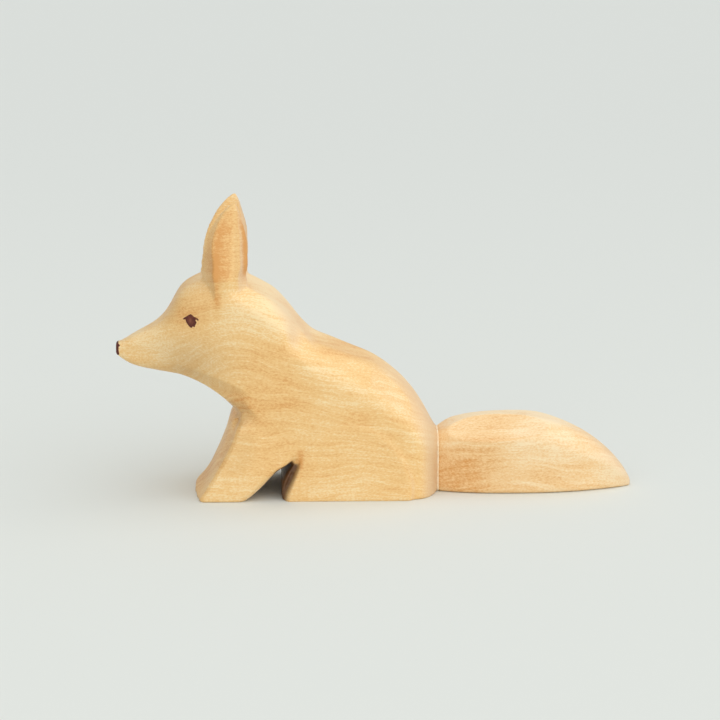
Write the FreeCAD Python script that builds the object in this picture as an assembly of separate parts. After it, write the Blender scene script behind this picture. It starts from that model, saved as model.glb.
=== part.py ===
import FreeCAD
import Part
import math
import os

# A sitting fox, carved by knife from two blocks of pale wood and rubbed with oil.
# The body block holds head, ears and legs, and comes from a board whose grain runs from nose to rump.
# The tail lies on the table behind it. It is a second block, glued to the rump on a hidden dowel.
# The eyes and the nose are dabs of brown paint.
# Millimetres. +X runs from the nose towards the tail, -Y is the fox's left side and +Z is up.
# The origin lies on the table, at the middle of the figure's length and thickness.

Vector = FreeCAD.Vector

# The board, and the lengths of the two blocks.
board_thickness = 30.0
body_length = 80.0
tail_length = 48.6
glue_thickness = 0.25

# Heights above the table.
crown_height = 55.5
haunch_height = 22.0

# The outline that both blocks share where they meet.
seam_height = 14.9
seam_width = 12.0
seam_top_radius = 3.6
seam_sole_radius = 1.2

# The tail.
tail_height = 19.0
tail_width = 17.6
tail_tip_height = 1.4
tail_tip_width = 2.4

# The blunt tip of the nose, and the place of its under side as a share of the crown's height.
nose_height = 2.9
nose_width = 3.2
nose_underside_share = 0.627

# The ears, above and below the crown. Each stands between an inner and an outer face, and the gap and the
# spread of the pair are measured at three levels.
ear_height = 18.4
ear_root_depth = 7.6
ear_gap_at_crown = 6.6
ear_gap_at_tip = 12.0
ear_spread_at_root = 23.2
ear_spread_at_crown = 24.6
ear_spread_at_tip = 13.6

# The forelegs, whose front is a little bowed from side to side and keeps a crisp edge.
foreleg_bow = 1.0
foreleg_front_bevel = 0.9
foreleg_back_radius = 2.2

# The rounded side edges of the hind legs.
haunch_edge_inset = 2.8
haunch_edge_depth = 3.0

# The knife nick on each side, which bevels the hind leg's front edge and runs out on the flank.
nick_depth = 2.6
nick_height = 14.6

# The dowel, and the blind holes that take it.
dowel_diameter = 6.0
dowel_length = 22.0
dowel_end_bevel = 0.7
dowel_clearance = 0.05
dowel_end_gap = 0.6
flute_count = 10
flute_radius = 0.35

# The dabs of paint.
eye_paint_thickness = 0.12
eye_width = 4.0
eye_height = 3.7
nose_paint_thickness = 0.2
nose_paint_length = 1.0
nose_paint_root = 3.0

# Places along the figure, worked out from the lengths.
half_board = board_thickness / 2
figure_length = nose_paint_thickness + body_length + glue_thickness + tail_length
nose_x = -figure_length / 2 + nose_paint_thickness
seam_x = nose_x + body_length
tail_x = seam_x + glue_thickness
dowel_height = seam_height / 2
overrun = board_thickness

# Stations of head, neck and trunk, nose first. Each row gives the distance from the nose as a share of the
# body's length, the under side and the top as shares of the crown's height, the half width as a share of
# half the board, and the rounding of the under and of the top edges as shares of that half width.
# The trunk reaches a little under the table, where its sole is cut flat.
trunk_shares = (
    (0.025, 0.600, 0.690, 0.160, 0.60, 0.60),
    (0.050, 0.582, 0.711, 0.215, 0.60, 0.60),
    (0.100, 0.566, 0.748, 0.325, 0.58, 0.58),
    (0.150, 0.557, 0.803, 0.445, 0.54, 0.58),
    (0.175, 0.553, 0.859, 0.505, 0.52, 0.62),
    (0.200, 0.548, 0.920, 0.565, 0.50, 0.64),
    (0.240, 0.529, 0.964, 0.650, 0.48, 0.64),
    (0.290, 0.494, 0.992, 0.745, 0.46, 0.62),
    (0.335, 0.447, 1.000, 0.820, 0.44, 0.56),
    (0.375, 0.390, 0.982, 0.870, 0.42, 0.50),
    (0.415, 0.315, 0.957, 0.900, 0.36, 0.45),
    (0.460, 0.225, 0.922, 0.920, 0.28, 0.43),
    (0.500, 0.171, 0.884, 0.930, 0.22, 0.44),
    (0.550, 0.172, 0.806, 0.940, 0.18, 0.48),
    (0.600, 0.110, 0.721, 0.950, 0.14, 0.54),
    (0.660, -0.014, 0.678, 0.965, 0.10, 0.60),
    (0.740, -0.010, 0.633, 0.960, 0.10, 0.66),
    (0.800, -0.010, 0.598, 0.955, 0.10, 0.72),
    (0.860, -0.010, 0.539, 0.945, 0.10, 0.76),
    (0.905, -0.010, 0.476, 0.925, 0.10, 0.74),
    (0.942, -0.010, 0.404, 0.880, 0.10, 0.68),
    (0.966, -0.008, 0.345, 0.790, 0.11, 0.62),
    (0.985, -0.004, 0.296, 0.620, 0.12, 0.60),
)

# Levels of the forelegs, sole first. Each row gives the height as a share of the crown's height, the front
# and the back as shares of the body's length, and the half width as a share of half the board.
foreleg_shares = (
    (0.000, 0.242, 0.399, 0.985),
    (0.012, 0.243, 0.411, 0.995),
    (0.040, 0.259, 0.434, 1.000),
    (0.080, 0.281, 0.462, 0.995),
    (0.140, 0.303, 0.505, 0.980),
    (0.178, 0.315, 0.545, 0.965),
    (0.265, 0.339, 0.560, 0.940),
    (0.320, 0.350, 0.558, 0.922),
    (0.370, 0.364, 0.550, 0.900),
    (0.450, 0.392, 0.530, 0.830),
)

# Outline of the hind legs from the heel forward over the thigh: distances as shares of the body's length
# and heights as shares of the haunch's height.
haunch_shares = (
    (0.930, 0.00),
    (0.930, 0.25),
    (0.890, 0.62),
    (0.815, 0.90),
    (0.720, 1.00),
    (0.635, 0.90),
    (0.580, 0.66),
    (0.545, 0.41),
    (0.522, 0.27),
    (0.512, 0.12),
    (0.514, 0.00),
)
haunch_centre_share = 0.710
haunch_width_share = 0.972

# Levels of the nick below its point. Each row gives the height as a share of the nick's height, and the front,
# the bottom and the back of the cut as shares of the body's length.
nick_shares = (
    (-0.050, 0.480, 0.506, 0.531),
    (0.600, 0.543, 0.554, 0.573),
)
nick_point_share = 0.588

# Ear levels from the crown up. Each row gives the height above the crown as a share of the ear's height, the
# front and the back as shares of the body's length, and the ridge's place between them.
ear_shares = (
    (0.000, 0.268, 0.412, 0.28),
    (0.150, 0.269, 0.412, 0.26),
    (0.320, 0.273, 0.412, 0.22),
    (0.470, 0.281, 0.411, 0.18),
    (0.600, 0.293, 0.409, 0.15),
    (0.720, 0.307, 0.405, 0.13),
    (0.830, 0.324, 0.400, 0.13),
    (0.920, 0.342, 0.393, 0.15),
    (0.975, 0.357, 0.385, 0.20),
    (1.000, 0.366, 0.378, 0.34),
)
ear_root_shares = (0.270, 0.412, 0.29)
# Corners of an ear's level behind its ridge, seen from above: places along it from the ridge to the back, and
# across it from the inner to the outer face. The front corner and the inner corners follow.
ear_outer_corner_shares = (
    (0.00, 0.96),
    (0.34, 1.00),
    (0.76, 0.96),
    (1.00, 0.62),
)
ear_inner_corner_shares = (
    (0.90, 0.06),
    (0.12, 0.00),
    (0.00, 0.14),
)

# Stations of the tail behind the seam, as shares of the tail's length, height and half width. The rounding
# of the under and of the top edges are shares of that half width.
tail_shares = (
    (0.060, 0.875, 0.800, 0.16, 0.56),
    (0.140, 0.950, 0.905, 0.14, 0.60),
    (0.250, 0.993, 0.975, 0.12, 0.64),
    (0.370, 1.000, 1.000, 0.12, 0.66),
    (0.500, 0.970, 0.985, 0.12, 0.70),
    (0.630, 0.875, 0.920, 0.14, 0.74),
    (0.750, 0.732, 0.780, 0.16, 0.77),
    (0.860, 0.535, 0.580, 0.20, 0.80),
    (0.940, 0.325, 0.380, 0.24, 0.78),
)

# Outline of a painted eye: a dab under a lid stroke that ends in a point on each side, as shares of its size.
eye_outline_shares = (
    (-0.51, 0.11),
    (-0.26, 0.33),
    (0.00, 0.49),
    (0.21, 0.40),
    (0.49, 0.18),
    (0.30, 0.11),
    (0.36, -0.17),
    (0.21, -0.43),
    (0.00, -0.49),
    (-0.21, -0.22),
    (-0.30, 0.02),
)
# The middle of an eye, as a share of the body's length and of the crown's height.
eye_place_shares = (0.236, 0.812)


def on_cross_plane(x):
    """Maps (across, up) onto the plane square to the figure's length at x."""
    return lambda across, up: Vector(x, across, up)


def on_level(z):
    """Maps (across, along) onto the level plane at height z."""
    return lambda across, along: Vector(along, across, z)


def rounded_wire(place, half_width, low, high, low_radius, high_radius):
    """A closed wire of four sides and four round corners, symmetrical across the board."""

    def corner(side, centre, radius, start, end):
        middle = side * (half_width - radius)
        points = [
            place(middle + side * radius * math.cos(angle), centre + radius * math.sin(angle))
            for angle in (start, (start + end) / 2, end)
        ]
        return Part.Arc(*points).toShape()

    quarter = math.pi / 2
    low_centre = low + low_radius
    high_centre = high - high_radius
    edges = [
        Part.makeLine(place(-half_width + low_radius, low), place(half_width - low_radius, low)),
        corner(1, low_centre, low_radius, -quarter, 0),
        Part.makeLine(place(half_width, low_centre), place(half_width, high_centre)),
        corner(1, high_centre, high_radius, 0, quarter),
        Part.makeLine(place(half_width - high_radius, high), place(-half_width + high_radius, high)),
        corner(-1, high_centre, high_radius, quarter, 0),
        Part.makeLine(place(-half_width, high_centre), place(-half_width, low_centre)),
        corner(-1, low_centre, low_radius, 0, -quarter),
    ]
    return Part.Wire(edges)


def seam_wire(x):
    """The outline that both blocks share where they meet."""
    return rounded_wire(on_cross_plane(x), seam_width / 2, 0, seam_height, seam_sole_radius, seam_top_radius)


def small_wire(x, width, low, high):
    """The blunt end of the nose or of the tail."""
    return rounded_wire(on_cross_plane(x), width / 2, low, high, width / 4, width / 4)


def trunk():
    """Head, neck and trunk in one form, from the nose to the seam."""
    nose_low = nose_underside_share * crown_height
    wires = [small_wire(nose_x, nose_width, nose_low, nose_low + nose_height)]
    for along, low, high, width, low_round, high_round in trunk_shares:
        half_width = width * half_board
        wires.append(
            rounded_wire(
                on_cross_plane(nose_x + along * body_length),
                half_width,
                low * crown_height,
                high * crown_height,
                low_round * half_width,
                high_round * half_width,
            )
        )
    wires.append(seam_wire(seam_x))
    return Part.makeLoft(wires, True, False)


def foreleg_wire(level, half_width, front, back):
    """One level of both forelegs: a bowed front between bevelled edges, and a back with round ones."""
    side = half_width - foreleg_front_bevel
    edge = front + foreleg_bow
    round_side = half_width - foreleg_back_radius
    round_start = back - foreleg_back_radius
    slant = foreleg_back_radius * math.sin(math.pi / 4)
    outer = [level(half_width, edge + foreleg_front_bevel), level(half_width, round_start)]
    inner = [level(-half_width, round_start), level(-half_width, edge + foreleg_front_bevel)]
    edges = [
        Part.Arc(level(-side, edge), level(0, front), level(side, edge)).toShape(),
        Part.makeLine(level(side, edge), outer[0]),
        Part.makeLine(*outer),
        Part.Arc(outer[1], level(round_side + slant, round_start + slant), level(round_side, back)).toShape(),
        Part.makeLine(level(round_side, back), level(-round_side, back)),
        Part.Arc(level(-round_side, back), level(-round_side - slant, round_start + slant), inner[0]).toShape(),
        Part.makeLine(*inner),
        Part.makeLine(inner[1], level(-side, edge)),
    ]
    return Part.Wire(edges)


def forelegs():
    """Both forelegs side by side, leaning back from the toes up into the chest."""
    wires = []
    for up, front, back, width in foreleg_shares:
        front_x = nose_x + front * body_length
        back_x = nose_x + back * body_length
        wires.append(foreleg_wire(on_level(up * crown_height), width * half_board, front_x, back_x))
    return Part.makeLoft(wires, True, False)


def haunch_wire(across, inset):
    """The hind legs' side outline on one lengthwise plane, drawn in by inset towards its middle."""
    centre_x = nose_x + haunch_centre_share * body_length
    shrink = 1 - inset / haunch_height
    points = []
    for along, up in haunch_shares:
        x = nose_x + along * body_length
        points.append(Vector(centre_x + (x - centre_x) * shrink, across, up * haunch_height * shrink))
    curve = Part.BSplineCurve()
    curve.interpolate(points)
    return Part.Wire([curve.toShape(), Part.makeLine(points[-1], points[0])])


def haunches():
    """Both hind legs side by side, with rounded side edges."""
    half_width = haunch_width_share * half_board
    steps = [math.pi / 2 * share for share in (0, 1 / 3, 2 / 3, 1)]
    profile = [
        (half_width - haunch_edge_depth * (1 - math.cos(step)), haunch_edge_inset * (1 - math.sin(step)))
        for step in steps
    ]
    wires = [haunch_wire(-across, inset) for across, inset in profile]
    wires += [haunch_wire(across, inset) for across, inset in reversed(profile)]
    return Part.makeLoft(wires, True, True)


def left_ear():
    """One leaf-shaped ear: a narrow front face, a ridge, the outer face and a narrow back face."""

    def level(height, front, back, ridge, gap, spread):
        outer = [(ridge + along * (1 - ridge), across) for along, across in ear_outer_corner_shares]
        points = [
            Vector(
                nose_x + (front + along * (back - front)) * body_length,
                -(gap + across * (spread - gap)) / 2,
                height,
            )
            for along, across in outer + list(ear_inner_corner_shares)
        ]
        return Part.makePolygon(points + points[:1])

    wires = []
    for up, front, back, ridge in ear_shares:
        height = crown_height + up * ear_height
        gap = ear_gap_at_crown + up * (ear_gap_at_tip - ear_gap_at_crown)
        spread = ear_spread_at_crown + up * (ear_spread_at_tip - ear_spread_at_crown)
        wires.append(level(height, front, back, ridge, gap, spread))
    root = level(crown_height - ear_root_depth, *ear_root_shares, ear_gap_at_crown, ear_spread_at_root)
    return Part.makeLoft([root, wires[0]], True, True).fuse(Part.makeLoft(wires, True, False))


def mirrored(shape):
    """The same shape on the fox's other side."""
    return shape.mirror(Vector(0, 0, 0), Vector(0, 1, 0))


def left_nick():
    """The knife's cut between belly and hind leg, from under the table up to its point on the flank."""
    wires = []
    for up, front, bottom, back in nick_shares:
        points = [
            Vector(nose_x + along * body_length, -half_board + depth, up * nick_height)
            for along, depth in ((front, 0), (back, 0), (bottom, nick_depth))
        ]
        wires.append(Part.makePolygon(points + points[:1]))
    point = Part.Vertex(Vector(nose_x + nick_point_share * body_length, -half_board, nick_height))
    return Part.makeLoft(wires + [point], True, True)


def below_table():
    """The block of space under the table, which trims the soles flat."""
    length = figure_length + 2 * overrun
    width = board_thickness + 2 * overrun
    return Part.makeBox(length, width, overrun, Vector(-length / 2, -width / 2, -overrun))


def dowel_hole():
    """The round hole across the seam, deep enough in both blocks for the dowel and its glue."""
    length = dowel_length + 2 * dowel_end_gap
    start = Vector((seam_x + tail_x - length) / 2, 0, dowel_height)
    return Part.makeCylinder(dowel_diameter / 2 + dowel_clearance, length, start, Vector(1, 0, 0))


def body_block():
    """The block that holds head, ears, trunk and legs."""
    forms = [forelegs(), haunches(), left_ear(), mirrored(left_ear())]
    cuts = [left_nick(), mirrored(left_nick()), below_table(), dowel_hole()]
    return trunk().fuse(forms).cut(cuts).Solids[0]


def tail_block():
    """The block that holds the tail, lens-shaped from above and flat underneath."""
    wires = [seam_wire(tail_x)]
    for along, high, width, low_round, high_round in tail_shares:
        half_width = width * tail_width / 2
        wires.append(
            rounded_wire(
                on_cross_plane(tail_x + along * tail_length),
                half_width,
                0,
                high * tail_height,
                low_round * half_width,
                high_round * half_width,
            )
        )
    wires.append(small_wire(tail_x + tail_length, tail_tip_width, 0, tail_tip_height))
    return Part.makeLoft(wires, True, False).cut(dowel_hole()).Solids[0]


def tail_glue_line():
    """The film of glue that shows as a pale line round the seam."""
    film = Part.Face(seam_wire(seam_x)).extrude(Vector(glue_thickness, 0, 0))
    return film.cut(dowel_hole()).Solids[0]


def tail_dowel():
    """The fluted beech dowel in the seam, with bevelled ends."""
    radius = dowel_diameter / 2
    along = Vector(1, 0, 0)
    start = Vector((seam_x + tail_x - dowel_length) / 2, 0, dowel_height)
    pin = Part.makeCylinder(radius, dowel_length, start, along)
    ends = [edge for edge in pin.Edges if edge.isClosed()]
    pin = pin.makeChamfer(dowel_end_bevel, ends)
    flutes = []
    for number in range(flute_count):
        angle = 2 * math.pi * number / flute_count
        offset = Vector(0, radius * math.cos(angle), radius * math.sin(angle))
        flutes.append(Part.makeCylinder(flute_radius, dowel_length, start + offset, along))
    return pin.cut(flutes).Solids[0]


def left_eye_paint(body):
    """The dab of paint on the left of the head, laid on the wood."""
    middle_x = nose_x + eye_place_shares[0] * body_length
    middle_z = eye_place_shares[1] * crown_height
    points = [
        Vector(middle_x + along * eye_width, -half_board, middle_z + up * eye_height)
        for along, up in eye_outline_shares
    ]
    outline = Part.Face(Part.makePolygon(points + points[:1])).extrude(Vector(0, half_board, 0))
    swollen = body.translated(Vector(0, -eye_paint_thickness, 0))
    return outline.common(swollen).cut(body).Solids[0]


def nose_paint(body):
    """The cap of paint on the tip of the nose: the muzzle swollen round a point inside it, less the muzzle."""
    middle = Vector(nose_x + nose_paint_root, 0, nose_underside_share * crown_height + nose_height / 2)
    swollen = body.scaled(1 + nose_paint_thickness / nose_paint_root, middle)
    corner = Vector(nose_x - nose_paint_thickness, -half_board, 0)
    tip = Part.makeBox(nose_paint_thickness + nose_paint_length, board_thickness, crown_height, corner)
    return tip.common(swollen).cut(body).Solids[0]


def pieces():
    """Every piece of the figure under its name."""
    body = body_block()
    left_eye = left_eye_paint(body)
    return {
        "body_block": body,
        "tail_block": tail_block(),
        "tail_glue_line": tail_glue_line(),
        "tail_dowel": tail_dowel(),
        "left_eye_paint": left_eye,
        "right_eye_paint": mirrored(left_eye),
        "nose_paint": nose_paint(body),
    }


os.makedirs("parts", exist_ok=True)
for name, shape in pieces().items():
    shape.exportStep(os.path.join("parts", name + ".step"))
    print(name, len(shape.Faces), "faces", round(shape.Volume, 2), "cubic mm")
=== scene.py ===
import math

import bmesh
import bpy
import numpy as np
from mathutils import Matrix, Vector


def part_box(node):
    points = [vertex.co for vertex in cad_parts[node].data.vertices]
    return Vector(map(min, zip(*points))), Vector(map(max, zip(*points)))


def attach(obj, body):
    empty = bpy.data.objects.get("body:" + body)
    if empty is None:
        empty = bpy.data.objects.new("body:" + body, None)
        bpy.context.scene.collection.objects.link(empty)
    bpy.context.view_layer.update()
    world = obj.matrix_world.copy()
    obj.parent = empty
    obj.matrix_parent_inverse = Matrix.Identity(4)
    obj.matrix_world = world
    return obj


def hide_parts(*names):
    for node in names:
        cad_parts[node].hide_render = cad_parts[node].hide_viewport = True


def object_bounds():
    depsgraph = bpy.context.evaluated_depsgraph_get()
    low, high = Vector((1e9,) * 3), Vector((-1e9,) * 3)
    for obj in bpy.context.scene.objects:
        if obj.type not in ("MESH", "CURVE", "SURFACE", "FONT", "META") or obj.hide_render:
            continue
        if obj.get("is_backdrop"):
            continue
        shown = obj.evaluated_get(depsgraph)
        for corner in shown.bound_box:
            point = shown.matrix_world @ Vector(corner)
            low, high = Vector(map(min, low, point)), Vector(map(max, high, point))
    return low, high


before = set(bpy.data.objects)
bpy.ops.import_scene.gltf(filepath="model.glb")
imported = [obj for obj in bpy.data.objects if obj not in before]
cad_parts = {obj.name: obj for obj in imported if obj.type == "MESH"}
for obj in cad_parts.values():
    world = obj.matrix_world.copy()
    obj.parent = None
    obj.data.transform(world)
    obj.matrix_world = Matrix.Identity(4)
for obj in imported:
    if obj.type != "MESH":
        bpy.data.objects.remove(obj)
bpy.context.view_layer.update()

MM = 0.001

# The body: forelegs, chest, head, ears and haunches whittled from one block of
# pale wood, with the grain along the fox. It was sanded until the knife cuts had
# run into each other, and oiled. Its back end is sawn flat for the tail.
BODY_SPACING = 0.39
SAWN_MARGIN, WORN_MARGIN, PEG_MARGIN = 0.15, 1.2, 0.6
RUB_IN, RUB_BACK = 0.5, -0.52
FIRST_ROUNDS, HOLLOW_ROUNDS, LAST_ROUNDS, NAPE_ROUNDS = 14, 60, 4, 38
# Places on both sides of the fox, given on its right: centre, reach, and the share of wear spared.
CRISP_PLACES = (
    ((-35.4, 6, 22.5), (4, 14, 4), 0.9), ((-42, 14.5, 9), (15, 6, 26), 0.85),
    ((-33, 8, 66), (11, 9, 17), 0.65), ((-20.5, 14, 8), (7, 4, 13), 0.85), ((-40.5, 11, 51), (4, 4, 7), 0.75),
)
HOLLOWS = (
    ((-32.5, 11, 50), (7, 6, 6)), ((-1, 14.5, 20), (14, 4, 8)), ((-26, 14, 20), (9, 4, 8)),
    ((8.5, 13, 6), (7, 5, 22)),
)
NAPE = ((-21.5, 12, 43), (8, 7, 9))
# The knife's last flat cuts: a place on each, the way that it faces, and its reach.
BODY_CUTS = (
    ((-40.8, -9.3, 29.3), (-0.42, -0.68, -0.60), 12), ((-34.0, -11.1, 23.5), (-0.55, -0.68, -0.49), 7),
    ((-27.4, -11.8, 49.2), (0.25, -0.62, 0.74), 11), ((-11.4, -11.7, 34.8), (0.35, -0.65, 0.67), 14),
    ((4.3, -10.7, 26.3), (0.50, -0.60, 0.62), 13),
)
EAR_LEVELS, EAR_FRONT_LIMIT, EAR_BACK_LIMIT = np.arange(54.0, 74.0, 1.0), -45, -28
EAR_TRIM, EAR_TRIM_HEIGHTS, EAR_TRIM_PLACES = 0.6, (64, 71), (0.45, 1.0)
# How far the front edge of each foreleg is turned back, by its height.
LEG_LEVELS, LEG_TOP, LEG_LIMIT = np.arange(0.0, 26.0, 1.0), 25, -30
LEG_FRONT_DEPTHS, LEG_SIDE_WIDTHS = (2.0, 5.5), (4, 13.5)
LEFT_LEG_EDGE = ((0, 0.3), (2.5, 0), (4, -0.45), (7, -0.3), (12, 0.3), (15, 0.6), (17, 0.8), (21, 0.4),
                 (LEG_TOP, 0))
RIGHT_LEG_EDGE = ((0, 1.1), (1.3, 1.5), (2.8, 1.5), (5, 0.9), (8, 0.55), (12, 0.8), (17, 1.1), (21, 0.9),
                  (LEG_TOP, 0))

film_low, film_high = (np.array(corner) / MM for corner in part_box("tail_glue_line"))
peg_low, peg_high = (np.array(corner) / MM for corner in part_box("tail_dowel"))
peg_height = (peg_low[2] + peg_high[2]) / 2
peg_room = (peg_high[2] - peg_low[2]) / 2 + PEG_MARGIN


def even_skin(node, spacing):
    """Points in millimetres and four-sided faces of the node's surface, evenly spaced."""
    block = bpy.data.objects.new(node + "_block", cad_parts[node].data.copy())
    bpy.context.scene.collection.objects.link(block)
    shell = bmesh.new()
    shell.from_mesh(block.data)
    bmesh.ops.remove_doubles(shell, verts=shell.verts, dist=1e-6)
    shell.to_mesh(block.data)
    shell.free()
    even = block.modifiers.new("even", "REMESH")
    even.mode = "VOXEL"
    even.voxel_size = spacing * MM
    seen = block.evaluated_get(bpy.context.evaluated_depsgraph_get()).to_mesh()
    points = np.empty(len(seen.vertices) * 3)
    seen.vertices.foreach_get("co", points)
    corners = np.empty(len(seen.polygons) * 4, dtype=int)
    seen.polygons.foreach_get("vertices", corners)
    bpy.data.objects.remove(block)
    return points.reshape(-1, 3) / MM, corners.reshape(-1, 4)


def sides_of(faces):
    """The sides of all the faces in turn, as pairs of points."""
    return np.vstack([faces[:, [i, (i + 1) % 4]] for i in range(4)])


def normals_of(points, faces):
    """The unit normal at each point."""
    across = np.cross(points[faces[:, 2]] - points[faces[:, 0]], points[faces[:, 3]] - points[faces[:, 1]])
    normals = np.zeros_like(points)
    for corner in range(4):
        for axis in range(3):
            normals[:, axis] += np.bincount(faces[:, corner], across[:, axis], len(points))
    return normals / np.maximum(np.linalg.norm(normals, axis=1), 1e-12)[:, None]


def rubbed(points, edges, share, rounds, second=RUB_BACK):
    """The points after rubbing down: each goes towards its neighbours, then back a little or on."""
    points = points.copy()
    count = np.bincount(edges.ravel(), minlength=len(points))[:, None]
    for step in np.tile((RUB_IN, second), rounds):
        beside = np.zeros_like(points)
        for axis in range(3):
            beside[:, axis] = (np.bincount(edges[:, 0], points[edges[:, 1], axis], len(points))
                               + np.bincount(edges[:, 1], points[edges[:, 0], axis], len(points)))
        points += step * share[:, None] * (beside / count - points)
    return points


def ramp(values, start, end):
    """0 before start, 1 after end, and smooth between them."""
    part = np.clip((values - start) / (end - start), 0, 1)
    return part * part * (3 - 2 * part)


def read_off(values, rows):
    """What the rows of pairs give at the values, along straight lines from row to row."""
    return np.interp(values, *np.array(rows).T)


def away_from(points, centre, reach):
    """The way from the centre, in reaches along each axis, the same on both sides of the fox."""
    return (np.column_stack([points[:, 0], np.abs(points[:, 1]), points[:, 2]]) - centre) / reach


def near(points, centre, reach):
    """1 up to half the reach from the centre, and 0 beyond the reach."""
    return 1 - ramp(np.linalg.norm(away_from(points, centre, reach), axis=1), 0.5, 1.0)


def mound(points, centre, reach, height):
    """A smooth mound of the height round the centre."""
    return height * np.exp(-np.sum(away_from(points, centre, reach) ** 2, axis=1))


def pared(points, cuts, share):
    """The points after flat cuts on the left side and the right, each fading out at the end of its reach."""
    points = points.copy()
    for place, facing, reach in cuts:
        for side in (1, -1):
            out = np.array(facing) * (1, side, 1) / np.linalg.norm(facing)
            away = points - np.array(place) * (1, side, 1)
            above = np.maximum(away @ out, 0)
            inside = 1 - ramp(np.linalg.norm(away, axis=1), 0.6 * reach, reach)
            points -= out * (above * inside * share)[:, None]
    return points


body_points, body_faces = even_skin("body_block", BODY_SPACING)
body_edges = np.unique(np.sort(sides_of(body_faces), axis=1), axis=0)
x, y, z = body_points.T
worn = ramp(film_low[0] - x, SAWN_MARGIN, WORN_MARGIN)
worn[(x > peg_low[0] - WORN_MARGIN) & (np.hypot(y, z - peg_height) < peg_room)] = 0
for centre, reach, spared in CRISP_PLACES:
    worn *= 1 - spared * near(body_points, centre, reach)
body_points = rubbed(body_points, body_edges, worn, FIRST_ROUNDS)
hollow = np.maximum.reduce([near(body_points, *place) for place in HOLLOWS])
body_points = rubbed(body_points, body_edges, worn * hollow, HOLLOW_ROUNDS)
body_points = pared(body_points, BODY_CUTS, worn)
body_points = rubbed(body_points, body_edges, worn, LAST_ROUNDS)
body_points = rubbed(body_points, body_edges, near(body_points, *NAPE), NAPE_ROUNDS, RUB_IN)

x, y, z = body_points.T
ear = [x[(np.abs(z - level) < 1.0) & (x > EAR_FRONT_LIMIT) & (x < EAR_BACK_LIMIT)] for level in EAR_LEVELS]
ear_front, ear_back = (np.array([pick(row) for row in ear]) for pick in (np.min, np.max))
place_in_ear = (x - np.interp(z, EAR_LEVELS, ear_front)) / np.interp(z, EAR_LEVELS, ear_back - ear_front)
body_points[:, 0] -= EAR_TRIM * ramp(z, *EAR_TRIM_HEIGHTS) * ramp(place_in_ear, *EAR_TRIM_PLACES)

leg_front = [x[(np.abs(z - level) < 0.8) & (x < LEG_LIMIT)].min() for level in LEG_LEVELS]
at_front = 1 - ramp(x - np.interp(z, LEG_LEVELS, leg_front), *LEG_FRONT_DEPTHS)
turned = np.where(y < 0, read_off(z, LEFT_LEG_EDGE), read_off(z, RIGHT_LEG_EDGE))
on_leg = (z < LEG_TOP) & (x < LEG_LIMIT)
body_points[:, 0] += turned * at_front * ramp(np.abs(y), *LEG_SIDE_WIDTHS) * on_leg
body_points = np.clip(body_points, *(np.array(corner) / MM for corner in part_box("body_block")))


def solid_piece(name, points, faces, material):
    """A smooth-shaded mesh object from points in millimetres."""
    mesh = bpy.data.meshes.new(name)
    mesh.from_pydata((points * MM).tolist(), [], faces.tolist())
    mesh.shade_smooth()
    mesh.materials.append(material)
    made = bpy.data.objects.new(name, mesh)
    bpy.context.scene.collection.objects.link(made)
    return made


def sight(red, green, blue):
    """The colour that shows as these screen values from 0 to 255."""
    part = [v / 255 for v in (red, green, blue)]
    return (*[v / 12.92 if v <= 0.04045 else ((v + 0.055) / 1.055) ** 2.4 for v in part], 1)


def add(tree, kind, inputs=(), **settings):
    """A node with its settings, and with its inputs set to values or joined to sockets."""
    made = tree.nodes.new(kind)
    for name, value in settings.items():
        setattr(made, name, value)
    for name, value in dict(inputs).items():
        if isinstance(value, bpy.types.NodeSocket):
            tree.links.new(value, made.inputs[name])
        else:
            made.inputs[name].default_value = value
    return made


def calc(tree, operation, *values):
    """The result of a math node."""
    return add(tree, "ShaderNodeMath", enumerate(values), operation=operation).outputs[0]


def stretch(tree, place, x_scale, y_scale, z_scale):
    """The place, scaled along each axis."""
    return add(tree, "ShaderNodeVectorMath", {0: place, 1: (x_scale, y_scale, z_scale)},
               operation="MULTIPLY").outputs[0]


def cloud(tree, place, detail=2.0, roughness=0.5):
    """Smooth noise over the place, one blob to a unit."""
    return add(tree, "ShaderNodeTexNoise", {"Vector": place, "Scale": 1.0, "Detail": detail,
                                           "Roughness": roughness}).outputs["Fac"]


def rise(tree, value, low, high, to_low=0.0, to_high=1.0):
    """The value taken smoothly from one range to another."""
    return add(tree, "ShaderNodeMapRange", {"Value": value, "From Min": low, "From Max": high,
                                           "To Min": to_low, "To Max": to_high},
               interpolation_type="SMOOTHSTEP").outputs["Result"]


def blend_colour(tree, share, first, second):
    """The first colour turned towards the second."""
    made = add(tree, "ShaderNodeMix", {"Factor": share}, data_type="RGBA")
    for number, value in ((6, first), (7, second)):
        if isinstance(value, bpy.types.NodeSocket):
            tree.links.new(value, made.inputs[number])
        else:
            made.inputs[number].default_value = value
    return made.outputs[2]


# Oiled wood, for both blocks and the dowel. The year layers run along the block and
# wave, and fine streaks, soft patches, flecks and pores lie over them. Faces turned
# towards the tail take the end colour: on the two blocks a pale pink that is partly
# end grain and partly a painted sheen. Four marks on the points darken the wood with
# oil and painted shade, warm or pale the tone (partly painted shade and painted light),
# lift the layers and calm the streaks.
SLOW_WAVE, QUICK_WAVE, QUICK_SHARE = (0.030, 0.045, 0.045), (0.10, 0.20, 0.20), 0.30
LAYER_ALONG, LAYER_ACROSS = 0.060, 0.10
FINE_SCALE, PATCH_SCALE, FLECK_SCALE, PORE_SCALE = (
    (2.4, 3.2, 2.0), (0.06, 0.10, 0.10), (1.5, 3.1, 3.1), (0.75, 2.1, 2.1))
PLAIN_WARMTH, FINE_WARMTH, PATCH_WARMTH, FLECK_WARMTH = 0.36, 0.65, 1.00, 1.30
HONEY_WARMTHS, AMBER_WARMTHS = (-0.1, 0.5), (0.4, 1.1)
PORE_SIZES, PORE_STREAKS, PORE_TONE, PORE_DEPTH = (0.05, 0.22), (0.42, 0.62), 0.35, 0.6
END_FACINGS, END_HIDING_TONES, END_AND_SHEEN_TONE = (0.33, 0.95), (0.3, 0.7), 0.6
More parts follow.
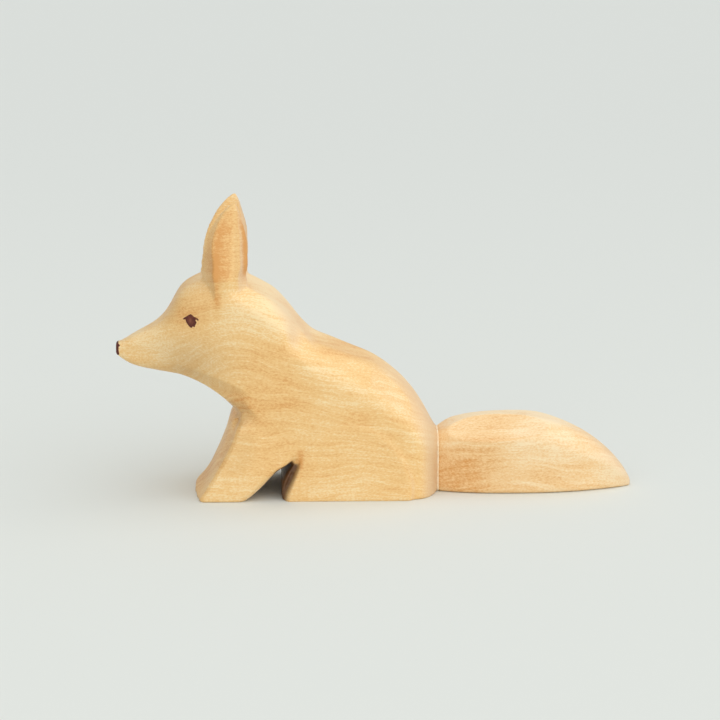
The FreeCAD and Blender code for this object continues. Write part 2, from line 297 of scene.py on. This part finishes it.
WOOD_ROUGHNESS, WOOD_RELIEF, RELIEF_DEPTH = (0.42, 0.58), 0.35, 0.03
MARKS = ("oil", "patch", "lift", "calm")

oiled_wood = bpy.data.node_groups.new("oiled_wood", "ShaderNodeTree")
for name, kind, value in (
    ("Place", "NodeSocketVector", None), ("Pith Y", "NodeSocketFloat", -40.0),
    ("Pith Z", "NodeSocketFloat", -62.0), ("Layer", "NodeSocketFloat", 1.25),
    ("Wave", "NodeSocketFloat", 7.0), ("Cream", "NodeSocketColor", sight(250, 223, 173)),
    ("Honey", "NodeSocketColor", sight(241, 198, 132)), ("Amber", "NodeSocketColor", sight(221, 157, 84)),
    ("End", "NodeSocketColor", sight(230, 201, 168)), ("Oil Colour", "NodeSocketColor", sight(85, 49, 25)),
    *((mark.title(), "NodeSocketFloat", 0.0) for mark in MARKS),
):
    socket = oiled_wood.interface.new_socket(name=name, in_out="INPUT", socket_type=kind)
    if value is not None:
        socket.default_value = value
for name, kind in (("Color", "NodeSocketColor"), ("Roughness", "NodeSocketFloat"),
                   ("Height", "NodeSocketFloat")):
    oiled_wood.interface.new_socket(name=name, in_out="OUTPUT", socket_type=kind)
tree = oiled_wood
given = tree.nodes.new("NodeGroupInput").outputs
put_out = tree.nodes.new("NodeGroupOutput")

axes = add(tree, "ShaderNodeSeparateXYZ", {0: given["Place"]}).outputs
slow = cloud(tree, stretch(tree, given["Place"], *SLOW_WAVE), detail=1.0, roughness=0.45)
quick = cloud(tree, stretch(tree, given["Place"], *QUICK_WAVE))
from_pith_y = calc(tree, "SUBTRACT", axes["Y"], given["Pith Y"])
from_pith_z = calc(tree, "SUBTRACT", axes["Z"], given["Pith Z"])
radius = calc(tree, "SQRT", calc(tree, "ADD", calc(tree, "MULTIPLY", from_pith_y, from_pith_y),
                                 calc(tree, "MULTIPLY", from_pith_z, from_pith_z)))
waved = calc(tree, "MULTIPLY_ADD", slow, given["Wave"], radius)
waved = calc(tree, "MULTIPLY_ADD", quick, calc(tree, "MULTIPLY", given["Wave"], QUICK_SHARE), waved)
layered = add(tree, "ShaderNodeCombineXYZ", {
    "X": calc(tree, "MULTIPLY", axes["X"], LAYER_ALONG),
    "Y": calc(tree, "DIVIDE", calc(tree, "SUBTRACT", waved, given["Lift"]), given["Layer"]),
    "Z": calc(tree, "MULTIPLY", axes["Y"], LAYER_ACROSS)}).outputs[0]

streak = cloud(tree, layered, detail=4.0, roughness=0.6)
fine = cloud(tree, stretch(tree, layered, *FINE_SCALE), roughness=0.6)
patch = cloud(tree, stretch(tree, given["Place"], *PATCH_SCALE))
fleck = cloud(tree, stretch(tree, given["Place"], *FLECK_SCALE), roughness=0.7)
cells = add(tree, "ShaderNodeTexVoronoi", {
    "Vector": stretch(tree, given["Place"], *PORE_SCALE), "Scale": 1.0}).outputs["Distance"]
pores = calc(tree, "MULTIPLY", calc(tree, "SUBTRACT", 1.0, rise(tree, cells, *PORE_SIZES)),
             rise(tree, fine, *PORE_STREAKS))

warmth = PLAIN_WARMTH
for noise, strength in ((streak, calc(tree, "SUBTRACT", 1.0, given["Calm"])), (fine, FINE_WARMTH),
                        (patch, PATCH_WARMTH), (fleck, FLECK_WARMTH)):
    warmth = calc(tree, "MULTIPLY_ADD", calc(tree, "SUBTRACT", noise, 0.5), strength, warmth)
# The patch mark warms or pales the tone: partly the wood's own tone, partly painted shade and painted light.
warmth = calc(tree, "ADD", warmth, given["Patch"])
colour = blend_colour(tree, rise(tree, warmth, *HONEY_WARMTHS), given["Cream"], given["Honey"])
colour = blend_colour(tree, rise(tree, warmth, *AMBER_WARMTHS), colour, given["Amber"])
colour = blend_colour(tree, calc(tree, "MULTIPLY", pores, PORE_TONE), colour, given["Amber"])
facing = add(tree, "ShaderNodeSeparateXYZ", {0: add(tree, "ShaderNodeNewGeometry").outputs["Normal"]}).outputs
# Pale end colour on faces turned towards the tail: partly end grain, partly a painted sheen.
end_grain_and_sheen = calc(tree, "MULTIPLY", rise(tree, facing["X"], *END_FACINGS),
                 calc(tree, "SUBTRACT", 1.0, rise(tree, given["Patch"], *END_HIDING_TONES)))
colour = blend_colour(tree, calc(tree, "MULTIPLY", end_grain_and_sheen, END_AND_SHEEN_TONE), colour, given["End"])
# Darkened where oil and painted shade are marked.
colour = blend_colour(tree, given["Oil"], colour, given["Oil Colour"])
tree.links.new(colour, put_out.inputs["Color"])
tree.links.new(rise(tree, calc(tree, "ADD", fleck, end_grain_and_sheen), 0.3, 1.6, *WOOD_ROUGHNESS),
               put_out.inputs["Roughness"])
height = calc(tree, "SUBTRACT", calc(tree, "ADD", fine, fleck), calc(tree, "MULTIPLY", pores, PORE_DEPTH))
tree.links.new(height, put_out.inputs["Height"])


def shader_of(material):
    """The material's node tree, its shader, and the place on the piece in millimetres."""
    material.use_nodes = True
    tree = material.node_tree
    place = stretch(tree, add(tree, "ShaderNodeTexCoord").outputs["Object"], 1000, 1000, 1000)
    return tree, tree.nodes["Principled BSDF"], place


def raised(tree, shader, height, strength):
    """Small relief from the height, in the shader's normal."""
    relief = add(tree, "ShaderNodeBump", {"Strength": strength, "Distance": RELIEF_DEPTH * MM,
                                         "Height": height})
    tree.links.new(relief.outputs["Normal"], shader.inputs["Normal"])


def wood(name, values):
    """A material of the oiled wood, with this block's own layers and tones."""
    made = bpy.data.materials.new(name)
    tree, shader, place = shader_of(made)
    marks = {mark.title(): add(tree, "ShaderNodeAttribute", attribute_name=mark).outputs["Fac"]
             for mark in MARKS}
    grain = add(tree, "ShaderNodeGroup", {"Place": place, **marks, **values}, node_tree=oiled_wood)
    tree.links.new(grain.outputs["Color"], shader.inputs["Base Color"])
    tree.links.new(grain.outputs["Roughness"], shader.inputs["Roughness"])
    raised(tree, shader, grain.outputs["Height"], WOOD_RELIEF)
    return made


def marked(piece, **marks):
    """Keeps values for each point of the piece, for its material to read."""
    for name, values in marks.items():
        piece.data.attributes.new(name, "FLOAT", "POINT").data.foreach_set("value", values)


def mounds(points, rows):
    """All the mounds together."""
    return sum(mound(points, *row) for row in rows)


# Where oil and painted shade darken the body's wood, where its tone is warmed or paled, partly as painted
# shade and painted light, and where its layers shift: centre, reach, and by how much.
# Painted shade low on each foreleg's side and by the throat's notch, then on the forehead and under the jaw.
SHADED_SPOTS = (((-36, 14, 14), (8, 6, 10), 0.06), ((-34.5, 12, 22), (5, 6, 5), 0.22))
SHADED_MOUNDS = (((-50, 8, 48), (7, 9, 7), 0.08), ((-46, 9, 34), (10, 9, 7), 0.26))
# Painted shade on the forward-facing faces in front of each ear's root.
CROWN, CROWN_SHADE = ((-41, 9, 57), (5, 7, 8)), 0.11
# Painted shade in the arch between the legs, partly also dark oiled end grain, and painted shade by the seam;
# more oil on the back part of each ear.
ARCH_OIL_AND_SHADE, SEAM_SHADE, SEAM_SHADE_X, EAR_OIL = 0.95, 0.10, (11, 15), 0.10
# Darker, warmer mounds on the forehead, in the crease under each ear and on the side of the head are painted
# shade; the paler mounds on the nape, crown and muzzle are painted light; the others warm the tone of the
# back, the shoulder and the nick's facet.
BODY_TONES_LIGHT_AND_SHADE = (
    ((-48, 8, 49), (7, 12, 7), 0.28), ((-8.5, 9, 38), (7, 9, 3.5), 0.22), ((-28, 14, 24), (16, 8, 12), 0.22),
    ((-39, 12, 52), (0.9, 6, 5), 0.45), ((-26, 6, 53), (8, 12, 4), -0.4), ((-40, 12, 46), (7, 6, 6), 0.15),
    ((-18.7, 15, 10.8), (0.9, 3, 2.2), 0.6), ((-43, 7, 54.5), (5, 9, 3), -0.15),
    ((-55, 5, 37), (7, 8, 6), -0.06), ((-21, 7, 48), (6, 9, 7), -0.20),
)
# Warmer, darker tone on the forward-facing front of each foreleg: partly end grain, partly painted shade.
LEG_FRONT_TONE_AND_SHADE, LEG_TONE_TOP = 0.16, (18, 24)
EAR_CALM, EAR_CALM_HEIGHTS, FACE_CALM = 0.65, (52, 57), ((-50, 8, 43), (12, 14, 12), 0.45)
BODY_LIFTS = (((-33, 12, 40), (11, 12, 14), 5.0), ((2, 12, 6), (14, 12, 9), 3.0),
              ((-12, 12, 26), (12, 12, 9), -1.0))
HAUNCH_START, HAUNCH_FALL, HAUNCH_HEIGHTS = -22, 0.17, (0, 22)
# The ear's tone from its front edge to its back edge, darkest along the crease behind the front edge, where
# it is partly end grain and partly painted shade, and how it fades at the root and towards the point.
EAR_TONES = ((0.0, 0.2), (0.22, 0.5), (0.32, 0.78), (0.42, 0.56), (0.58, 0.52), (0.68, 0.22), (0.86, 0.25),
             (0.93, 0.70), (1.0, 0.85))
EAR_ROOT, EAR_POINT, EAR_POINT_FADE = (53, 58), (66, 72), 0.7
# The painted shade in the arch between the legs: the bevel of the hind leg by its height, and the arch's roof
# by x.
BEVEL = ((0, -21.8), (1.6, -21.5), (3.5, -20.7), (5.5, -19.8), (8.3, -18.7), (12.0, -18.0))
ROOF = ((-25.3, 7.4), (-21.2, 9.6), (-18.0, 9.4))
ARCH_FRONT, ARCH_TOP = (-25.8, -24.6), (13, 14.5)

body = solid_piece("whittled_body", body_points, body_faces, wood("body_wood", {}))
x, y, z = body_points.T
normals = normals_of(body_points, body_faces)
forward, outward = -normals[:, 0], normals[:, 1] * np.sign(y)
ear_side = np.maximum(ramp(outward, 0.1, 0.5), ramp(place_in_ear, 0.75, 0.9) * ramp(outward, -0.4, 0.0))
ear_tone_and_shade = read_off(place_in_ear, EAR_TONES) * ear_side * (1 - EAR_POINT_FADE * ramp(z, *EAR_POINT))
under_roof = 1 - ramp(z - read_off(x, ROOF), -0.5, 0.3) * ramp(outward, 0.45, 0.75)
in_arch = ramp(read_off(z, BEVEL) - x, -0.3, 1.3) * ramp(x, *ARCH_FRONT) * under_roof
in_arch *= 1 - ramp(z, *ARCH_TOP)
leg_face = ramp(forward, 0.2, 0.6) * at_front * (1 - ramp(z, *LEG_TONE_TOP))
marked(
    body,
    oil=np.maximum.reduce([
        ARCH_OIL_AND_SHADE * in_arch, SEAM_SHADE * ramp(x, *SEAM_SHADE_X),
        EAR_OIL * ramp(place_in_ear, 0.6, 0.9) * ramp(z, *EAR_ROOT),
        CROWN_SHADE * ramp(forward, 0.2, 0.7) * near(body_points, *CROWN),
        *(share * near(body_points, centre, reach) for centre, reach, share in SHADED_SPOTS),
        *(mound(body_points, *row) for row in SHADED_MOUNDS)]),
    patch=ramp(z, *EAR_ROOT) * ear_tone_and_shade + LEG_FRONT_TONE_AND_SHADE * leg_face + mounds(body_points, BODY_TONES_LIGHT_AND_SHADE),
    calm=np.maximum(EAR_CALM * ramp(z, *EAR_CALM_HEIGHTS), mound(body_points, *FACE_CALM)),
    lift=(mounds(body_points, BODY_LIFTS)
          - HAUNCH_FALL * np.maximum(x - HAUNCH_START, 0) * ramp(z, *HAUNCH_HEIGHTS)),
)
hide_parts("body_block")
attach(body, "root")

# The tail: a second block of the same board, whittled to a long drop that lies on
# its flat underside, and glued to the haunches end to end.
TAIL_SPACING = 0.33
TAIL_FIRST_ROUNDS, TAIL_LAST_ROUNDS = 16, 5
TAIL_CUTS = (((33, -4.6, 17.0), (-0.05, -0.62, 0.78), 20),)
# Painted shade on the tail's front near the seam, painted light higher along it, at the tip and on its
# upward-facing top; the end of the tip is a little darker.
TAIL_SHADE_AND_LIGHT = (((21, 8, 7), (11, 8, 10), 0.34), ((41, 8, 12), (12, 9, 7), -0.2), ((61, 3, 4), (9, 6, 6), -0.2))
TAIL_TOP_LIGHT, TAIL_TOP_FACINGS = -0.35, (0.85, 0.97)
TAIL_TIP_DARKENING, TAIL_TIP_X = 0.06, (52, 62)
TAIL_LIFT, TAIL_CALM = ((38, 8, 3), (13, 9, 7), 2.5), ((24, 8, 8), (10, 9, 10), 0.4)

tail_points, tail_faces = even_skin("tail_block", TAIL_SPACING)
tail_edges = np.unique(np.sort(sides_of(tail_faces), axis=1), axis=0)
x, y, z = tail_points.T
worn = ramp(x - film_high[0], SAWN_MARGIN, WORN_MARGIN)
worn[(x < peg_high[0] + WORN_MARGIN) & (np.hypot(y, z - peg_height) < peg_room)] = 0
tail_points = rubbed(tail_points, tail_edges, worn, TAIL_FIRST_ROUNDS)
tail_points = pared(tail_points, TAIL_CUTS, worn)
tail_points = rubbed(tail_points, tail_edges, worn, TAIL_LAST_ROUNDS)
tail_points = np.clip(tail_points, *(np.array(corner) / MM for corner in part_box("tail_block")))
tail = solid_piece("whittled_tail", tail_points, tail_faces,
                   wood("tail_wood", {"Pith Y": -30.0, "Pith Z": -50.0, "Layer": 1.5,
                                      "Cream": sight(251, 227, 186), "Honey": sight(243, 204, 148)}))
top_side = ramp(normals_of(tail_points, tail_faces)[:, 2], *TAIL_TOP_FACINGS)
marked(tail, oil=TAIL_TIP_DARKENING * ramp(tail_points[:, 0], *TAIL_TIP_X),
       patch=mounds(tail_points, TAIL_SHADE_AND_LIGHT) + TAIL_TOP_LIGHT * top_side,
       lift=mound(tail_points, *TAIL_LIFT), calm=mound(tail_points, *TAIL_CALM))
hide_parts("tail_block")
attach(tail, "root")

# The dowel: a fluted beech peg, glued half into each block. It is out of sight.
beech = wood("beech_dowel", {"Pith Y": 30.0, "Pith Z": 20.0, "Layer": 1.9,
                             "Cream": sight(226, 184, 140), "Honey": sight(212, 160, 112),
                             "Amber": sight(172, 118, 76), "End": sight(196, 140, 94)})
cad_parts["tail_dowel"].data.materials.clear()
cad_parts["tail_dowel"].data.materials.append(beech)

# The glue: white glue squeezed out of the seam between body and tail. It dried to a
# pale line, which was sanded flush, and it fills the worn edges of both blocks.
SEAM_TOP_RADIUS = 3.6
SEAM_SOLE_RADIUS = 1.2
CORNER_STEPS = 8
RING_DEPTH = 2.3
GLUE_MOTTLE, GLUE_ROUGHNESS = (1.5, 1.2, 1.2), (0.35, 0.6)
# The bead's section: how far along the fox from the film's middle, and how far in from the seam's outline.
BEAD = ((-0.125, RING_DEPTH), (-0.125, 0.42), (-0.26, 0.10), (-0.16, -0.02), (0.0, -0.05), (0.16, -0.02),
        (0.26, 0.10), (0.125, 0.42), (0.125, RING_DEPTH))

film_middle = (film_low + film_high) / 2
half_width, seam_height = film_high[1], film_high[2]
seam = []
for corner_y, corner_z, corner_radius, start in (
    (half_width, 0, SEAM_SOLE_RADIUS, -90), (half_width, seam_height, SEAM_TOP_RADIUS, 0),
    (-half_width, seam_height, SEAM_TOP_RADIUS, 90), (-half_width, 0, SEAM_SOLE_RADIUS, 180),
):
    centre = (math.copysign(abs(corner_y) - corner_radius, corner_y), abs(corner_z - corner_radius))
    for step in range(CORNER_STEPS + 1):
        angle = math.radians(start + 90 * step / CORNER_STEPS)
        seam.append((*centre, corner_radius, math.cos(angle), math.sin(angle)))
rings = []
for along, inwards in BEAD:
    for centre_y, centre_z, corner_radius, out_y, out_z in seam:
        rings.append((film_middle[0] + along, centre_y + (corner_radius - inwards) * out_y,
                      max(centre_z + (corner_radius - inwards) * out_z, 0.0)))
count = len(seam)
ring_faces = [(a * count + i, a * count + (i + 1) % count, b * count + (i + 1) % count, b * count + i)
              for a, b in zip(range(len(BEAD)), [*range(1, len(BEAD)), 0]) for i in range(count)]

glue = bpy.data.materials.new("dried_wood_glue")
tree, shader, place = shader_of(glue)
mottle = cloud(tree, stretch(tree, place, *GLUE_MOTTLE), detail=3.0)
tree.links.new(blend_colour(tree, rise(tree, mottle, 0.35, 0.65), sight(255, 240, 212), sight(244, 218, 176)),
               shader.inputs["Base Color"])
tree.links.new(rise(tree, mottle, 0.3, 0.7, *GLUE_ROUGHNESS), shader.inputs["Roughness"])
bead = solid_piece("glue_line", np.array(rings), np.array(ring_faces), glue)
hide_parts("tail_glue_line")
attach(bead, "root")

# The eyes: two dabs of dark brown paint, each with a stroke at either side for
# the lid. The brush left them ragged and thin at the rim, and the pale spot
# inside each is partly thinner paint and partly a painted highlight.
PAINT_THICKNESS, PAINT_RELIEF, PAINT_ROUGHNESS = 0.05, 0.4, (0.5, 0.7)
SMEAR_SCALE, THIN_SHARE, SMEAR_SHARE = (1.6, 1.6, 1.1), 0.6, 0.5
RIM_START, RIM_END = -0.10, 0.16
EYE_REACH = 3.4
EYE_OUTLINE = np.array([
    (0.0, 1.62), (0.45, 1.35), (0.80, 1.05), (1.25, 0.92), (1.70, 0.68), (1.98, 0.34), (1.75, 0.16),
    (1.45, 0.38), (1.12, 0.42), (1.22, 0.10), (1.42, -0.22), (1.28, -0.62), (1.06, -0.98), (0.98, -1.35),
    (0.78, -1.42), (0.62, -1.28), (0.45, -1.30), (0.25, -1.60), (-0.05, -1.62), (-0.40, -1.36),
    (-0.75, -0.98), (-1.08, -0.50), (-1.24, -0.05), (-1.34, 0.30), (-1.62, 0.22), (-1.93, 0.22),
    (-1.95, 0.42), (-1.52, 0.76), (-0.98, 1.05), (-0.50, 1.38)]) * (1.0, 1.06)
# The pale spot inside each eye: partly thinner paint, partly a painted highlight.
EYE_PALE_X, EYE_PALE_Z = (-0.15, 0.42), (0.1, 0.75)


def depth_inside(outline, across, up):
    """How far inside the outline each place is, below 0 outside it."""
    inside = np.zeros(across.shape, dtype=bool)
    nearest = np.full(across.shape, 1e9)
    for (x0, z0), (x1, z1) in zip(outline, np.roll(outline, -1, axis=0)):
        along = np.clip(((across - x0) * (x1 - x0) + (up - z0) * (z1 - z0))
                        / ((x1 - x0) ** 2 + (z1 - z0) ** 2), 0, 1)
        nearest = np.minimum(nearest, np.hypot(across - x0 - along * (x1 - x0), up - z0 - along * (z1 - z0)))
        if z0 != z1:
            inside ^= ((z0 > up) != (z1 > up)) & (across < x0 + (up - z0) / (z1 - z0) * (x1 - x0))
    return np.where(inside, nearest, -nearest)


def paint_layer(name, centre, reach, depth_at, material):
    """A closed film of paint on the body, thick where depth_at gives more than 0."""
    cut = bmesh.new()
    cut.from_mesh(body.data)
    middle = Vector(centre) * MM
    far = [f for f in cut.faces if (f.calc_center_median() - middle).length > reach * MM]
    bmesh.ops.delete(cut, geom=far, context="FACES")
    bmesh.ops.subdivide_edges(cut, edges=cut.edges, cuts=3, use_grid_fill=True)
    points = np.array([v.co for v in cut.verts]) / MM
    cut.normal_update()
    normals = np.array([v.normal for v in cut.verts])
    deep = depth_at(points)
    keep = [f for f in cut.faces if max(deep[v.index] for v in f.verts) > RIM_START]
    faces = np.array([[v.index for v in f.verts] for f in keep])
    cut.free()
    used, faces = np.unique(faces, return_inverse=True)
    faces = faces.reshape(-1, 4)
    points, normals, deep = points[used], normals[used], deep[used]
    lift = PAINT_THICKNESS * (1.4 * ramp(deep, RIM_START, RIM_END) - 0.4)
    sides = sides_of(faces)
    _, first, count = np.unique(np.sort(sides, axis=1), axis=0, return_index=True, return_counts=True)
    rim = sides[first[count == 1]]
    under = len(points)
    points = np.vstack([points + normals * lift[:, None], points - normals * 2 * PAINT_THICKNESS])
    faces = np.vstack([faces, faces[:, ::-1] + under,
                       np.column_stack([rim[:, 1], rim[:, 0], rim[:, 0] + under, rim[:, 1] + under])])
    return solid_piece(name, points, faces, material)


brown_paint = bpy.data.materials.new("brown_paint")
tree, shader, place = shader_of(brown_paint)
smear = cloud(tree, stretch(tree, place, *SMEAR_SCALE), detail=3.0, roughness=0.6)
# Thinner paint and a painted highlight pale the brown.
thin = add(tree, "ShaderNodeAttribute", attribute_name="thin").outputs["Fac"]
thin = calc(tree, "MULTIPLY_ADD", thin, THIN_SHARE, rise(tree, smear, 0.50, 0.72, 0.0, SMEAR_SHARE))
tree.links.new(blend_colour(tree, thin, sight(86, 26, 10), sight(148, 84, 56)), shader.inputs["Base Color"])
tree.links.new(rise(tree, smear, 0.3, 0.7, *PAINT_ROUGHNESS), shader.inputs["Roughness"])
raised(tree, shader, smear, PAINT_RELIEF)

for node in ("left_eye_paint", "right_eye_paint"):
    low, high = (np.array(corner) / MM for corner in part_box(node))
    middle = (low + high) / 2

    def dab(points, middle=middle):
        """How deep inside this eye's outline the points are."""
        return depth_inside(EYE_OUTLINE, points[:, 0] - middle[0], points[:, 2] - middle[2])

    eye = paint_layer(node.replace("paint", "dab"), middle, EYE_REACH, dab, brown_paint)
    spots = np.array([v.co for v in eye.data.vertices]) / MM - middle
    marked(eye, thin=np.exp(-((spots[:, 0] - EYE_PALE_X[0]) / EYE_PALE_X[1]) ** 2
                            - ((spots[:, 2] - EYE_PALE_Z[0]) / EYE_PALE_Z[1]) ** 2))
    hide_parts(node)
    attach(eye, "root")

# The nose: the same paint, wiped over the blunt tip of the muzzle, with a small
# run near the top.
NOSE_REACH = 4.0
# How far back from the tip the paint reaches, by height.
NOSE_EDGE = ((33.8, -0.8), (34.35, 0.0), (34.8, 0.78), (35.3, 0.70), (36.1, 0.60), (36.8, 0.66),
             (37.15, 1.04), (37.5, 0.62), (37.95, 0.50))
low, high = (np.array(corner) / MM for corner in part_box("nose_paint"))
tip = body_points[:, 0].min()


def wipe(points):
    """How far in front of the paint's edge the points are."""
    return tip + read_off(points[:, 2], NOSE_EDGE) - points[:, 0]


nose = paint_layer("nose_dab", (low + high) / 2, NOSE_REACH, wipe, brown_paint)
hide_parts("nose_paint")
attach(nose, "root")

# The photograph's place: a wide pale sheet, soft light from everywhere, and one
# broad lamp high on the right in front.
SHEET_HALF = 6
SKY_STRENGTH, SKY_SLOPE = 0.57, 0.16
LAMP_STRENGTH, LAMP_WIDTH, LAMP_SIDE = 0.61, 140, (0.38, -0.64, 0.66)
AIM, CAMERA_DISTANCE = (-0.00355, 0, 0.0326), 0.9
CAMERA_TURN, CAMERA_CLIMB = -1.5, 13.5

sheet = bpy.data.materials.new("pale_sheet")
sheet.use_nodes = True
tree = sheet.node_tree
shader = tree.nodes["Principled BSDF"]
place = add(tree, "ShaderNodeTexCoord").outputs["Object"]
depth = add(tree, "ShaderNodeSeparateXYZ", {0: place}).outputs["Y"]
# The sheet is painted paler towards the camera: painted light, brighter near the front.
tree.links.new(blend_colour(tree, rise(tree, depth, -0.25, 0.6), sight(228, 231, 226), sight(221, 224, 220)),
               shader.inputs["Base Color"])
shader.inputs["Roughness"].default_value = 0.9
shader.inputs["Specular IOR Level"].default_value = 0.1
floor_mesh = bpy.data.meshes.new("floor")
floor_mesh.from_pydata([(SHEET_HALF * across, SHEET_HALF * back, 0)
                        for across, back in ((-1, -1), (1, -1), (1, 1), (-1, 1))], [], [(0, 1, 2, 3)])
floor_mesh.materials.append(sheet)
floor = bpy.data.objects.new("floor", floor_mesh)
bpy.context.scene.collection.objects.link(floor)
floor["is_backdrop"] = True

world = bpy.data.worlds.new("soft_room")
world.use_nodes = True
tree = world.node_tree
sky = tree.nodes["Background"]
sky.inputs["Color"].default_value = (0.95, 0.98, 1.0, 1)
direction = add(tree, "ShaderNodeTexCoord").outputs["Generated"]
side = add(tree, "ShaderNodeSeparateXYZ", {0: direction}).outputs["X"]
tree.links.new(calc(tree, "MULTIPLY_ADD", side, SKY_SLOPE, SKY_STRENGTH), sky.inputs["Strength"])
bpy.context.scene.world = world

lamp = bpy.data.lights.new("broad_lamp", "SUN")
lamp.energy = LAMP_STRENGTH * math.pi
lamp.angle = math.radians(LAMP_WIDTH)
lamp.color = (1.0, 0.985, 0.96)
broad_lamp = bpy.data.objects.new("broad_lamp", lamp)
broad_lamp.rotation_euler = Vector(LAMP_SIDE).to_track_quat("Z", "Y").to_euler()
bpy.context.scene.collection.objects.link(broad_lamp)

lens = bpy.data.cameras.new("camera")
lens.lens = 180
lens.sensor_width = 36
lens.clip_end = 20
camera = bpy.data.objects.new("camera", lens)
turn, climb = math.radians(CAMERA_TURN), math.radians(CAMERA_CLIMB)
back = Vector((math.sin(turn) * math.cos(climb), -math.cos(turn) * math.cos(climb), math.sin(climb)))
camera.location = Vector(AIM) + CAMERA_DISTANCE * back
camera.rotation_euler = back.to_track_quat("Z", "Y").to_euler()
bpy.context.scene.collection.objects.link(camera)
bpy.context.scene.camera = camera
bpy.context.scene.view_settings.view_transform = "Standard"

low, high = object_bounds()
